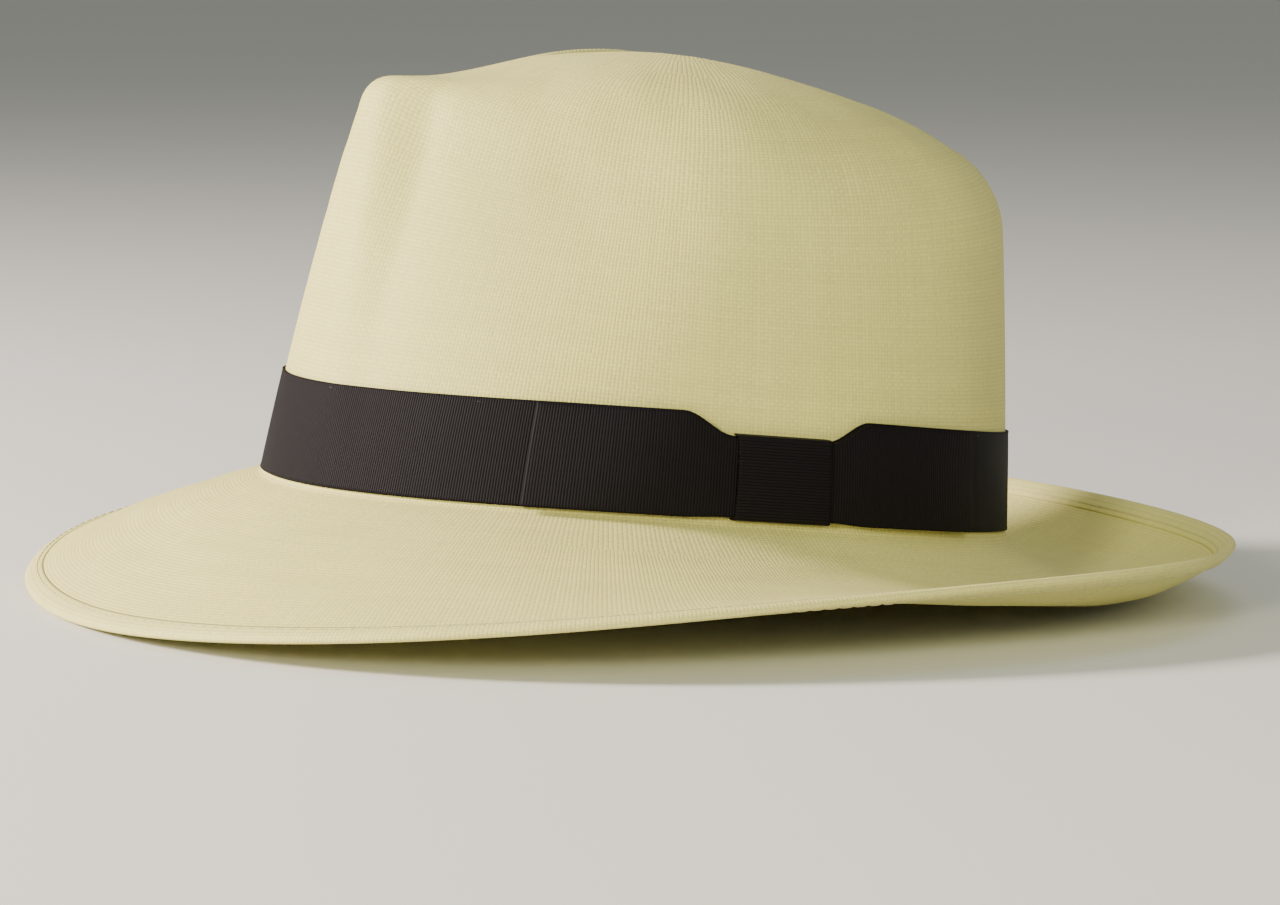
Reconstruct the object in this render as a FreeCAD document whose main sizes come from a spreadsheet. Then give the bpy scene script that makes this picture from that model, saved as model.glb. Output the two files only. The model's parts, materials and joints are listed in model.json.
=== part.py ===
"""A woven straw fedora with a snap brim, a grosgrain ribbon with a flat bow and a leather sweatband.

Everything is shaped in the hat's own frame, in millimetres: the origin is the centre of the headline oval,
+X the front, +Y the wearer's left and +Z up. One placement then stands the hat on its brim, so that the
lowest points of the front edge and of the back of the brim rest on Z = 0.

Places near the foot of the crown are given as (angle, rise, out): the angle round the headline oval from
the front, the height above the headline, and the distance out from the outer face of the straw.
"""

import FreeCAD, Part
import functools
import math
import os

Vector = FreeCAD.Vector

os.makedirs("parts", exist_ok=True)
doc = FreeCAD.newDocument("Fedora")
sheet = doc.addObject("Spreadsheet::Sheet", "Sizes")

SIZES = {
    # headline: the oval where crown and brim meet, at the outer face of the straw
    "head_half_length": 102.2,
    "head_half_width": 85.2,
    "side_rise": 4.3,
    "straw_thickness": 1.6,
    "foot_radius": 1.8,
    "foot_drop": 0.9,
    # crown wall: how it draws in with height, per mm and per mm squared
    "front_lean": 0.1285,
    "front_bow": 0.00027,
    "back_lean": 0.0794,
    "back_bow": 0.00026,
    "side_lean": 0.100,
    "side_bow": 0.00062,
    "lean_run": 30.0,
    # crown top: a domed ridge, higher in the middle than over the nose
    "crest_height": 116.9,
    "crest_forward": 1.2,
    "nose_height": 105.6,
    "nose_spread": 51.2,
    "back_fall": 0.00282,
    "back_fall_power": 1.969,
    "dome_fall": 0.0048,
    "dome_lift": 4.0,
    "dome_front": 30.0,
    "dome_back": 40.0,
    "dome_run": 40.0,
    "shoulder_blend": 14.0,
    "nose_blend": 7.0,
    "nose_blend_start": 20.0,
    "nose_blend_run": 50.0,
    # teardrop crease in the top
    "crease_depth": 22.0,
    "crease_forward": -22.0,
    "crease_half_length": 62.0,
    "crease_front_half_width": 14.0,
    "crease_back_half_width": 38.0,
    "crease_taper_run": 99.2,
    # one pinch on each side of the front, and the nose between them, wider at its foot
    "pinch_depth": 15.0,
    "pinch_forward": 44.0,
    "pinch_height": 104.0,
    "pinch_length": 44.0,
    "pinch_drop": 56.0,
    "pinch_sweep": 0.2,
    "nose_half_width": 5.0,
    "nose_flare": 0.2,
    "nose_ridge_width": 12.0,
    # brim: plan widths from the straw's foot, and heights of its edge
    "brim_front": 57.8,
    "brim_front_quarter": 70.1,
    "brim_side": 63.1,
    "brim_back_quarter": 65.2,
    "brim_back": 55.3,
    "edge_level": -10.7,
    "edge_snap": 22.15,
    "edge_side_lift": 5.0,
    "edge_straightness": 0.75,
    "gutter_depth": 13.5,
    "gutter_start": 40.0,
    "gutter_full": 140.0,
    "gutter_outward": 0.0,
    "hem_width": 5.0,
    "hem_thickness": 2.6,
    "hem_thread_inset": 3.6,
    "joint_gap": 0.08,
    # ribbon and bow
    "ribbon_width": 26.6,
    "ribbon_thickness": 0.5,
    "ribbon_gap": 0.3,
    "layer_gap": 0.15,
    "keeper_angle": 92.5,
    "keeper_width": 26.6,
    "keeper_dip": 5.6,
    "keeper_lift": 0.7,
    "dip_run": 14.0,
    "wing_length": 54.0,
    "wing_puff": 0.5,
    "tack_radius": 0.25,
    "tack_length": 1.4,
    "tack_count": 12,
    "tack_inset": 1.2,
    # sweatband and what hangs on it
    "leather_thickness": 1.0,
    "leather_gap": 0.4,
    "leather_top": 35.0,
    "reed_radius": 1.0,
    "tape_thickness": 0.35,
    "tape_gap": 0.15,
    "thread_width": 0.7,
    "thread_thickness": 0.35,
    "thread_rise": 6.0,
    "seam_width": 12.0,
    "seam_thickness": 0.5,
    "seam_inset": 0.6,
    "tag_length": 16.0,
    "tag_width": 11.0,
    "tag_corner": 1.2,
    "tag_thickness": 0.3,
    "tag_angle": 163.0,
    "tag_rise": 21.0,
    "small_bow_length": 22.0,
    "small_bow_width": 6.0,
    "small_bow_waist": 2.4,
}
for row, (name, value) in enumerate(SIZES.items(), start=1):
    sheet.set(f"A{row}", name)
    sheet.set(f"B{row}", str(value))
    sheet.setAlias(f"B{row}", name)
doc.recompute()


class Sizes:
    """The sheet's cells by name."""

    def __init__(self):
        for name in SIZES:
            setattr(self, name, float(sheet.get(name)))


size = Sizes()

# ---------------------------------------------------------------------------------------------
# Smooth steps and blends


def smooth_step(value):
    """0 below 0, 1 above 1, and a smooth rise between."""
    value = min(max(value, 0.0), 1.0)
    return value * value * (3 - 2 * value)


def smooth_max(first, second, reach):
    """The larger of two values, rounded off where they differ by less than reach."""
    near = max(reach - abs(first - second), 0.0) / reach
    return max(first, second) + near * near * reach / 4


def mix(first, second, share):
    return first + (second - first) * share


def lean_loss(height, lean, bow):
    """How far the wall has drawn in at a height."""
    return lean * height + bow * height * height


# ---------------------------------------------------------------------------------------------
# The crown as one smooth closed form

NEAREST_HIT = 10.0
FARTHEST_HIT = 2 * size.head_half_length + size.crest_height
HALVINGS = 36
SLOPE_STEP = 0.05
MIDDLE_SHARE = 0.47
CROWN_MIDDLE = Vector(0, 0, MIDDLE_SHARE * size.crest_height)


def wall_excess(x, y, z):
    """How far a point lies outside the crown's wall, about in mm."""
    front_share = 0.5 + 0.5 * math.tanh(x / size.lean_run)
    half_length = (
        size.head_half_length
        - lean_loss(z, size.front_lean, size.front_bow) * front_share
        - lean_loss(z, size.back_lean, size.back_bow) * (1 - front_share)
    )
    half_width = size.head_half_width - lean_loss(z, size.side_lean, size.side_bow)
    ratio = max(math.hypot(x / half_length, y / half_width), 1e-6)
    lengthwise = (x / half_length / ratio) ** 2
    oval = (ratio - 1) * mix(half_width, half_length, lengthwise)
    below = max(size.pinch_height - z, 0.0)
    along = (x - size.pinch_forward - size.pinch_sweep * below) / size.pinch_length
    above = (z - size.pinch_height) / size.pinch_drop
    beside_nose = (abs(y) - size.nose_half_width - size.nose_flare * below) / size.nose_ridge_width
    pinch = size.pinch_depth * math.exp(-(along**2) - above**2) * smooth_step(beside_nose)
    return oval + pinch


def crest(x):
    """Height of the ridges along the hat."""
    behind = size.crest_forward - x
    if behind < 0:
        rise = size.crest_height - size.nose_height
        return size.nose_height + rise * math.exp(-((behind / size.nose_spread) ** 2))
    return size.crest_height - size.back_fall * behind**size.back_fall_power


def top_height(x, y):
    """Height of the crown's top, with its teardrop crease."""
    crease_front = size.crease_forward + size.crease_half_length
    back_share = smooth_step((crease_front - x) / size.crease_taper_run)
    half_width = mix(size.crease_front_half_width, size.crease_back_half_width, back_share)
    along = (x - size.crease_forward) / size.crease_half_length
    inside = max(1 - along**2 - (y / half_width) ** 2, 0.0)
    ahead = smooth_step((x - size.dome_front) / size.dome_run)
    behind = smooth_step((-x - size.dome_back) / size.dome_run)
    middle_share = 1 - ahead - behind
    dome = size.dome_lift * middle_share - size.dome_fall * y * y
    return crest(x) + dome - size.crease_depth * inside**1.5


def crown_excess(x, y, z):
    """Negative inside the crown, zero on its outer face."""
    nose_share = smooth_step((x - size.nose_blend_start) / size.nose_blend_run)
    blend = mix(size.shoulder_blend, size.nose_blend, nose_share)
    return smooth_max(wall_excess(x, y, z), z - top_height(x, y), blend)


def crown_hit(start, direction):
    """Where a ray from inside the crown meets its outer face, by halving the stretch it lies in."""
    near, far = NEAREST_HIT, FARTHEST_HIT
    for _ in range(HALVINGS):
        middle = (near + far) / 2
        point = start + direction * middle
        if crown_excess(point.x, point.y, point.z) < 0:
            near = middle
        else:
            far = middle
    return start + direction * near


def crown_normal(point):
    """Outward direction of the crown's face at a point on it."""
    step = SLOPE_STEP
    here = crown_excess(point.x, point.y, point.z)
    slope = Vector(
        crown_excess(point.x + step, point.y, point.z) - here,
        crown_excess(point.x, point.y + step, point.z) - here,
        crown_excess(point.x, point.y, point.z + step) - here,
    )
    return slope.normalize()


def side_rise(angle):
    """The headline dips front and back and rises at the sides."""
    return size.side_rise * math.sin(angle) ** 2


def heading(angle):
    """Level direction from the hat's axis to the headline at an angle round the oval."""
    x = size.head_half_length * math.cos(angle)
    y = size.head_half_width * math.sin(angle)
    return Vector(x, y, 0).normalize()


def outward(angle):
    """Level direction square to the headline oval."""
    x = math.cos(angle) / size.head_half_length
    y = math.sin(angle) / size.head_half_width
    return Vector(x, y, 0).normalize()


def band_point(angle, rise, out):
    """A point near the foot of the crown, out from the straw's outer face."""
    height = side_rise(angle) + rise
    foot = crown_hit(Vector(0, 0, height), heading(angle))
    return foot + outward(angle) * out


FOOT_TOP = size.foot_radius - size.foot_drop


def crown_point(angle, share, depth):
    """A point of the crown from its foot (share 0) to the middle of its top (share 1).

    Depth is taken square to the face, but level at the foot, which is cut level to sit on the brim.
    """
    foot = band_point(angle, FOOT_TOP + size.joint_gap, 0) - CROWN_MIDDLE
    low = math.asin(foot.z / foot.Length)
    rise = mix(low, math.pi / 2, share)
    aim = heading(angle) * math.cos(rise) + Vector(0, 0, math.sin(rise))
    point = crown_hit(CROWN_MIDDLE, aim)
    if depth == 0:
        return point
    if share == 0:
        return point - outward(angle) * depth
    return point - crown_normal(point) * depth


# ---------------------------------------------------------------------------------------------
# The brim


def plan_width(angle):
    """Brim width in plan: a cosine series through the five named widths."""
    widths = (
        size.brim_front,
        size.brim_front_quarter,
        size.brim_side,
        size.brim_back_quarter,
        size.brim_back,
    )
    last = len(widths) - 1
    total = 0.0
    for order in range(last + 1):
        weight = 0.0
        for place, width in enumerate(widths):
            end_share = 0.5 if place in (0, last) else 1.0
            weight += end_share * width * math.cos(order * place * math.pi / last)
        order_share = 1.0 if order in (0, last) else 2.0
        total += order_share * weight / last * math.cos(order * angle)
    return total


def edge_height(angle):
    """Height of the brim's edge: snapped down in front, up behind."""
    front = size.edge_snap * math.cos(angle)
    return size.edge_level - front - size.edge_side_lift * math.cos(2 * angle)


def gutter_depth(angle):
    """How deep the brim sags between the foot and its turned-up edge, more and more to the back."""
    from_front = math.degrees(abs(math.atan2(math.sin(angle), math.cos(angle))))
    run = size.gutter_full - size.gutter_start
    return size.gutter_depth * smooth_step((from_front - size.gutter_start) / run)


def foot_curve(distance):
    """Height of the rounded foot where the brim turns up into the crown."""
    inward = max(1 - distance / size.foot_radius, 0.0)
    return size.foot_radius * (1 - math.sqrt(max(1 - inward * inward, 0.0)))


def brim_height(angle, distance):
    """Height of the brim's upper face at a plan distance from the straw's foot."""
    share = distance / plan_width(angle)
    straight = size.edge_straightness
    slope = edge_height(angle) * share * (straight + (1 - straight) * share)
    lean_out = 1 + size.gutter_outward * (2 * share - 1)
    sag = gutter_depth(angle) * 4 * share * (1 - share) * lean_out
    start = side_rise(angle) - size.foot_drop
    return start * (1 - share) + slope - sag + foot_curve(distance)


@functools.lru_cache(maxsize=None)
def straw_foot(angle):
    """Where the crown's wall ends and the brim's foot begins."""
    return band_point(angle, FOOT_TOP, 0)


def brim_face(angle, distance):
    flat = straw_foot(angle) + outward(angle) * distance
    return Vector(flat.x, flat.y, brim_height(angle, distance))


def brim_point(angle, distance, depth):
    """A point of the brim, at a depth below its upper face."""
    point = brim_face(angle, distance)
    if depth == 0:
        return point
    step = 0.01
    ahead = brim_face(angle, distance + step)
    behind = brim_face(angle, max(distance - step, 0.0))
    run = ahead - behind
    across = outward(angle)
    level = run.dot(across)
    down = Vector(0, 0, -level) + across * run.z
    return point + down.normalize() * depth


HEM_ROUND_FROM = 0.55
HEM_EDGE_SHARE = 0.14


def hem_point(angle, share, side):
    """A point of the turned edge: share 0 at its inner side to 1 at the edge, side -1 on top, 1 below."""
    outer = plan_width(angle)
    toward_edge = max(share - HEM_ROUND_FROM, 0.0) / (1 - HEM_ROUND_FROM)
    half = size.hem_thickness / 2 * max(math.sqrt(1 - toward_edge**2), HEM_EDGE_SHARE)
    distance = mix(outer - size.hem_width, outer, share)
    return brim_point(angle, distance, size.straw_thickness / 2 + side * half)


# ---------------------------------------------------------------------------------------------
# Faces and solids from nets of points


ROUND = 96
RIBBON_ROUND = 120
CROWN_ROWS = 44
BRIM_ROWS = 16
HEM_ROWS = 8
BAND_ROWS = 5
LEATHER_ROWS = 6
CORD_ROWS = 7
TAPE_ROWS = 13
STANDING_ROWS = 24
STANDING_ROUNDS = 6


def stations(count):
    """Places from 0 to 1 for the rows of a net, closer together at its two ends."""
    spans = count - 3
    inner = [place / spans for place in range(1, spans)]
    return [0.0, 1 / (3 * spans)] + inner + [1 - 1 / (3 * spans), 1.0]


def angles(count):
    return [2 * math.pi * place / count for place in range(count)]


def sharpen(line, closed):
    """Moves a line of poles out, so that the smooth curve passes close to the given points."""
    last = len(line) - 1
    poles = list(line)
    for place, point in enumerate(line):
        if not closed and (place < 3 or place > last - 3):
            continue
        before = line[place - 1]
        after = line[(place + 1) % len(line)]
        poles[place] = point - (before - point * 2 + after) / 6
    return poles


def knots_for(count, degree, closed):
    if closed:
        return [1] * (count + 1), [float(place) for place in range(count + 1)]
    spans = count - degree
    ends = [degree + 1]
    return ends + [1] * (spans - 1) + ends, [float(place) for place in range(spans + 1)]


def face(net, closed):
    """A smooth face over a net: its rows in order, each row running round or along the hat."""
    across_degree = min(3, len(net) - 1)
    along_degree = min(3, len(net[0]) - 1)
    across_counts, across_knots = knots_for(len(net), across_degree, False)
    along_counts, along_knots = knots_for(len(net[0]), along_degree, closed)
    surface = Part.BSplineSurface()
    surface.buildFromPolesMultsKnots(
        net,
        across_counts,
        along_counts,
        across_knots,
        along_knots,
        False,
        closed,
        across_degree,
        along_degree,
    )
    return surface.toShape()


def fitted(net, closed):
    """The poles whose smooth face passes close to the net's points."""
    rows = [sharpen(row, closed) for row in net]
    if len(rows) < 7:
        return rows
    columns = [sharpen(list(column), False) for column in zip(*rows)]
    return [list(row) for row in zip(*columns)]


def solid_from(faces):
    shell = Part.Compound(faces)
    shell.sewShape()
    solid = Part.makeSolid(shell.Shells[0])
    if solid.Volume < 0:
        solid.reverse()
    return solid


def sheet_solid(upper, lower, closed):
    """The solid between two nets of the same layout. A closed one runs all the way round."""
    upper, lower = fitted(upper, closed), fitted(lower, closed)
    faces = [face(upper, closed), face(lower, closed)]
    for row in (0, -1):
        pinched = all(point.isEqual(upper[row][0], 1e-6) for point in upper[row])
        if not pinched:
            faces.append(face([upper[row], lower[row]], closed))
    if not closed:
        for column in (0, -1):
            left = [row[column] for row in upper]
            right = [row[column] for row in lower]
            faces.append(face([left, right], False))
    return solid_from(faces)


# ---------------------------------------------------------------------------------------------
# Placing and binding sub-parts


def standing():
    """Stands the hat on the front and the back of its brim, centred on its length."""
    under = []
    for angle in angles(ROUND):
        for share in stations(STANDING_ROWS):
            under.append(brim_point(angle, plan_width(angle) * share, size.straw_thickness))
        for share in stations(HEM_ROWS):
            under.append(hem_point(angle, share, 1))
    ahead = [point for point in under if point.x > 0]
    behind = [point for point in under if point.x < 0]
    turn = FreeCAD.Rotation()
    for _ in range(STANDING_ROUNDS):
        front = min(ahead, key=lambda point: turn.multVec(point).z)
        back = min(behind, key=lambda point: turn.multVec(point).z)
        tilt = math.atan2(back.z - front.z, front.x - back.x)
        turn = FreeCAD.Rotation(Vector(0, 1, 0), -math.degrees(tilt))
    lengthwise = [turn.multVec(point).x for point in under]
    middle = (min(lengthwise) + max(lengthwise)) / 2
    return FreeCAD.Placement(Vector(-middle, 0, -turn.multVec(front).z), turn)


STAND = standing()
parts = []


def keep(thing, label):
    """Registers a sub-part under the name of its file."""
    thing.Label = label
    parts.append(thing)
    return thing


def shaped(label, shape):
    """A sub-part whose free-form shape is set here and stood with the hat."""
    feature = doc.addObject("Part::Feature", label)
    feature.Shape = shape
    feature.Placement = STAND
    return keep(feature, label)


def around(rows, columns, place):
    """A net of points running round the hat: place(angle, share) for each row's share."""
    return [[place(angle, share) for angle in angles(columns)] for share in rows]


# ---------------------------------------------------------------------------------------------
# Straw


def make_crown():
    rows = stations(CROWN_ROWS)
    outer = around(rows, ROUND, lambda angle, share: crown_point(angle, share, 0))
    inner = around(rows, ROUND, lambda angle, share: crown_point(angle, share, size.straw_thickness))
    for net in (outer, inner):
        middle = sum(net[-1], Vector()) / len(net[-1])
        net[-1] = [middle] * len(net[-1])
    shaped("crown", sheet_solid(outer, inner, True))


FOOT_TURNS = (0, 8, 22, 40, 60, 80)


def brim_distances(end):
    """Plan distances for the brim's rows: close together round the foot, then even."""
    foot = size.foot_radius
    curve = [foot * (1 - math.cos(math.radians(turn))) for turn in FOOT_TURNS]
    even = [mix(foot, end, share) for share in stations(BRIM_ROWS)[2:]]
    return curve + even


def make_brim():
    def row_net(depth):
        columns = []
        for angle in angles(ROUND):
            end = plan_width(angle) - size.hem_width - size.joint_gap
            columns.append([brim_point(angle, distance, depth) for distance in brim_distances(end)])
        return [list(row) for row in zip(*columns)]

    shaped("brim", sheet_solid(row_net(0), row_net(size.straw_thickness), True))


def make_hem():
    rows = stations(HEM_ROWS)
    upper = around(rows, ROUND, lambda angle, share: hem_point(angle, share, -1))
    lower = around(rows, ROUND, lambda angle, share: hem_point(angle, share, 1))
    shaped("brim_hem", sheet_solid(upper, lower, True))


def round_ring(line, radius):
    """A closed round cord, thread or cane: line gives (centre, out, up) at an angle round the hat."""

    def half_net(first_turn):
        net = []
        for share in stations(CORD_ROWS):
            turn = math.radians(first_turn + 180 * share)
            row = []
            for angle in angles(ROUND):
                centre, out, up = line(angle)
                row.append(centre + out * (radius * math.cos(turn)) + up * (radius * math.sin(turn)))
            net.append(row)
        return fitted(net, True)

    lower, upper = half_net(-180), half_net(0)
    lower[0], lower[-1] = upper[-1], upper[0]
    return solid_from([face(lower, True), face(upper, True)])


def make_hem_thread():
    """The row of stitches round the hem, as one flat ring of thread."""
    lift = (size.hem_thickness - size.straw_thickness) / 2 + size.layer_gap

    def row_net(height):
        return around(
            (-0.5, 0.5),
            ROUND,
            lambda angle, share: brim_point(
                angle,
                plan_width(angle) - size.hem_thread_inset + size.thread_width * share,
                -height,
            ),
        )

    shaped("hem_thread", sheet_solid(row_net(lift + size.thread_thickness), row_net(lift), True))


# ---------------------------------------------------------------------------------------------
# Ribbon and bow. Layers from the straw out: ribbon, lap, wing's inner ply, outer ply, keeper

KEEPER = math.radians(size.keeper_angle)
ARC = math.hypot(
    size.head_half_length * math.sin(KEEPER), size.head_half_width * math.cos(KEEPER)
)
KEEPER_HALF = size.keeper_width / 2 / ARC
RIBBON_OUT = size.ribbon_gap
LAP_OUT = RIBBON_OUT + size.ribbon_thickness + size.layer_gap
WING_OUT = LAP_OUT + size.ribbon_thickness + size.layer_gap
WING_PLIES = 2 * size.ribbon_thickness + size.wing_puff
LAP_SHARE = 0.8
LAP_HALF = KEEPER_HALF * LAP_SHARE
WING_ROOT_SHARE = 0.25
WING_ROOT = KEEPER_HALF * WING_ROOT_SHARE
PLY_INSET = 0.01
BEVEL_SHARE = 0.6
LAP_COLUMNS = 6
WING_COLUMNS = 12
FOLD_TURNS = (90, 45, 0, -45, -90)
RIBBON_FOOT = foot_curve(RIBBON_OUT) - size.foot_drop + size.layer_gap
KEEPER_OUT = WING_OUT + WING_PLIES + size.layer_gap


def gather(angle):
    """1 under the keeper, falling to 0 where the ribbon runs at full width."""
    turn = math.atan2(math.sin(angle - KEEPER), math.cos(angle - KEEPER))
    beyond = (abs(turn) - KEEPER_HALF) * ARC
    return 1 - smooth_step(beyond / size.dip_run)


def ribbon_rise(angle, share):
    """Height of the ribbon's lower edge (share 0) to its upper edge (share 1), drawn in at the keeper."""
    low = RIBBON_FOOT + size.keeper_lift * gather(angle)
    high = size.ribbon_width - size.keeper_dip * gather(angle)
    return mix(low, high, share)


def make_ribbon():
    def row_net(out):
        return around(
            stations(BAND_ROWS),
            RIBBON_ROUND,
            lambda angle, share: band_point(angle, ribbon_rise(angle, share), out),
        )

    outer = RIBBON_OUT + size.ribbon_thickness
    shaped("hatband_ribbon", sheet_solid(row_net(outer), row_net(RIBBON_OUT), True))


def make_lap():
    """The end of the ribbon, lapped over its start under the keeper."""

    def row_net(out):
        turns = [mix(KEEPER - LAP_HALF, KEEPER + LAP_HALF, step) for step in stations(LAP_COLUMNS)]
        shares = [mix(PLY_INSET, 1 - PLY_INSET, share) for share in stations(BAND_ROWS)]
        return [[band_point(turn, ribbon_rise(turn, share), out) for turn in turns] for share in shares]

    outer = LAP_OUT + size.ribbon_thickness
    shaped("hatband_lap", sheet_solid(row_net(outer), row_net(LAP_OUT), False))


def wing_path(direction):
    """The folded loop's middle line: out along the outer ply, round the fold and back.

    Each place is (angle, out, lean), where lean runs from 1 on the outer ply to -1 on the inner one.
    """
    half_ply = size.ribbon_thickness / 2
    inner = WING_OUT + half_ply
    outer = WING_OUT + WING_PLIES - half_ply
    fold = (outer - inner) / 2
    start = KEEPER + direction * WING_ROOT
    end = KEEPER + direction * (KEEPER_HALF + (size.wing_length - fold) / ARC)
    places = [(mix(start, end, step), outer, 1.0) for step in stations(WING_COLUMNS)[:-1]]
    for turn in FOLD_TURNS:
        swing = math.radians(turn)
        reach = direction * fold * math.cos(swing) / ARC
        places.append((end + reach, (inner + outer) / 2 + fold * math.sin(swing), math.sin(swing)))
    places += [(mix(start, end, step), inner, -1.0) for step in reversed(stations(WING_COLUMNS)[:-1])]
    return places


def make_wing(label, direction):
    half_ply = size.ribbon_thickness / 2

    def row_net(side):
        net = []
        for share in stations(BAND_ROWS):
            line = []
            for angle, out, lean in wing_path(direction):
                bend = math.sqrt(max(1 - lean * lean, 0.0))
                shift = direction * side * half_ply * bend / ARC
                rise = ribbon_rise(angle, mix(PLY_INSET, 1 - PLY_INSET, share))
                line.append(band_point(angle + shift, rise, out + side * half_ply * lean))
            net.append(line)
        return net

    shaped(label, sheet_solid(row_net(1), row_net(-1), False))


FRAME_STEP = 1.0


def local_frame(angle, rise, out):
    """A placement on the band: x along it, y up its slope and z outward."""
    here = band_point(angle, rise, out)
    above = band_point(angle, rise + FRAME_STEP, out)
    beside = band_point(angle + FRAME_STEP / ARC, rise, out)
    up = (above - here).normalize()
    along = (beside - here).normalize()
    facing = along.cross(up).normalize()
    turn = FreeCAD.Rotation(along, facing.cross(along), facing, "ZXY")
    return FreeCAD.Placement(here, turn)


def origin_plane(body, role):
    for feature in body.Origin.OriginFeatures:
        if feature.Role == role:
            return feature
    raise ValueError(f"no plane {role}")


def new_body(label):
    return doc.addObject("PartDesign::Body", label)


def flat_sketch(body, name, role):
    sketch = body.newObject("Sketcher::SketchObject", name)
    sketch.AttachmentSupport = [(origin_plane(body, role), "")]
    sketch.MapMode = "FlatFace"
    return sketch


def add_outline(sketch, points):
    """A closed outline of straight lines."""
    count = len(points)
    for place in range(count):
        ends = (points[place], points[(place + 1) % count])
        sketch.addGeometry(Part.LineSegment(*(Vector(*end, 0) for end in ends)), False)


def make_keeper():
    """The short ribbon over the middle of the bow: a bridge whose feet stand on the straw."""
    body = new_body("bow_keeper")
    sketch = flat_sketch(body, "bridge", "YZ_Plane")
    rise_low = ribbon_rise(KEEPER, 0)
    height = ribbon_rise(KEEPER, 1) - rise_low
    ply = size.ribbon_thickness
    bevel = ply * BEVEL_SHARE
    top = KEEPER_OUT - RIBBON_OUT
    inner_low, inner_high = -size.layer_gap, height + size.layer_gap
    add_outline(
        sketch,
        [
            (inner_low - ply, 0),
            (inner_low, 0),
            (inner_low, top),
            (inner_high, top),
            (inner_high, 0),
            (inner_high + ply, 0),
            (inner_high + ply, top + ply - bevel),
            (inner_high + ply - bevel, top + ply),
            (inner_low - ply + bevel, top + ply),
            (inner_low - ply, top + ply - bevel),
        ],
    )
    pad = body.newObject("PartDesign::Pad", "strap")
    pad.Profile = sketch
    pad.setExpression("Length", "Sizes.keeper_width")
    pad.Midplane = True
    body.Placement = STAND.multiply(local_frame(KEEPER, rise_low, RIBBON_OUT))
    keep(body, "bow_keeper")


def make_tacks():
    """Small hand stitches near the ribbon's upper edge that hold it to the straw."""
    tacks = []
    count = int(size.tack_count)
    lay = FreeCAD.Placement(Vector(-size.tack_length / 2, 0, 0), FreeCAD.Rotation(Vector(0, 1, 0), 90))
    out = RIBBON_OUT + size.ribbon_thickness + size.tack_radius + size.layer_gap
    for place in range(count):
        angle = 2 * math.pi * (place + 0.5) / count
        tack = doc.addObject("Part::Cylinder", f"tack_{place + 1}")
        tack.setExpression("Radius", "Sizes.tack_radius")
        tack.setExpression("Height", "Sizes.tack_length")
        spot = local_frame(angle, ribbon_rise(angle, 1) - size.tack_inset, out)
        tack.Placement = spot.multiply(lay)
        tacks.append(tack)
    group = doc.addObject("Part::Compound", "tack_stitches")
    group.Links = tacks
    group.Placement = STAND
    keep(group, "tack_stitches")


# ---------------------------------------------------------------------------------------------
# Sweatband

LEATHER_OUT = -(size.straw_thickness + size.leather_gap)
LEATHER_IN = LEATHER_OUT - size.leather_thickness
TAPE_TURNS = (-70, 250)
TAPE_RADIUS = size.reed_radius + size.tape_gap + size.tape_thickness
TAPE_OUT = -(size.straw_thickness + size.tape_gap * 2 + TAPE_RADIUS)
LEATHER_FOOT = 2 * TAPE_RADIUS + size.tape_gap * 2
THREAD_OUT = LEATHER_IN - size.layer_gap
SEAM_OUT = THREAD_OUT - size.thread_thickness - size.layer_gap


def make_sweatband():
    def row_net(out):
        return around(
            stations(LEATHER_ROWS),
            ROUND,
            lambda angle, share: band_point(angle, mix(LEATHER_FOOT, size.leather_top, share), out),
        )

    shaped("sweatband", sheet_solid(row_net(LEATHER_OUT), row_net(LEATHER_IN), True))


def make_reed():
    def line(angle):
        return band_point(angle, TAPE_RADIUS, TAPE_OUT), outward(angle), Vector(0, 0, 1)

    shaped("sweatband_reed", round_ring(line, size.reed_radius))


def make_reed_tape():
    """The tape round the reed: a sleeve left open along its foot."""
    turns = [math.radians(mix(*TAPE_TURNS, share)) for share in stations(TAPE_ROWS)]

    def row_net(radius):
        return [
            [
                band_point(
                    angle,
                    TAPE_RADIUS + radius * math.sin(turn),
                    TAPE_OUT + radius * math.cos(turn),
                )
                for angle in angles(ROUND)
            ]
            for turn in turns
        ]

    inner = size.reed_radius + size.tape_gap
    shaped("reed_tape", sheet_solid(row_net(TAPE_RADIUS), row_net(inner), True))


def make_sweatband_thread():
    """The row of stitches along the sweatband's foot, as one flat ring of thread."""

    def row_net(out):
        return around(
            (-0.5, 0.5),
            ROUND,
            lambda angle, share: band_point(angle, size.thread_rise + size.thread_width * share, out),
        )

    outer = THREAD_OUT
    shaped("sweatband_thread", sheet_solid(row_net(outer), row_net(outer - size.thread_thickness), True))


def padded_plate(label, points, thickness_cell):
    """A flat plate: an outline on the body's XY plane, padded to the thickness in a cell."""
    body = new_body(label)
    sketch = flat_sketch(body, "outline", "XY_Plane")
    add_outline(sketch, points)
    pad = body.newObject("PartDesign::Pad", "plate")
    pad.Profile = sketch
    pad.setExpression("Length", f"Sizes.{thickness_cell}")
    pad.Reversed = True
    return body


def plate_outline(length, height, corner):
    """A rectangle with cut corners, centred on the origin."""
    x, y = length / 2, height / 2
    return [
        (-x + corner, -y),
        (x - corner, -y),
        (x, -y + corner),
        (x, y - corner),
        (x - corner, y),
        (-x + corner, y),
        (-x, y - corner),
        (-x, -y + corner),
    ]


def bulge_under(half_length):
    """How far a flat piece of this half length must stand off the sweatband's round back."""
    back_radius = size.head_half_width**2 / size.head_half_length
    return half_length**2 / 2 / back_radius


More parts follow.
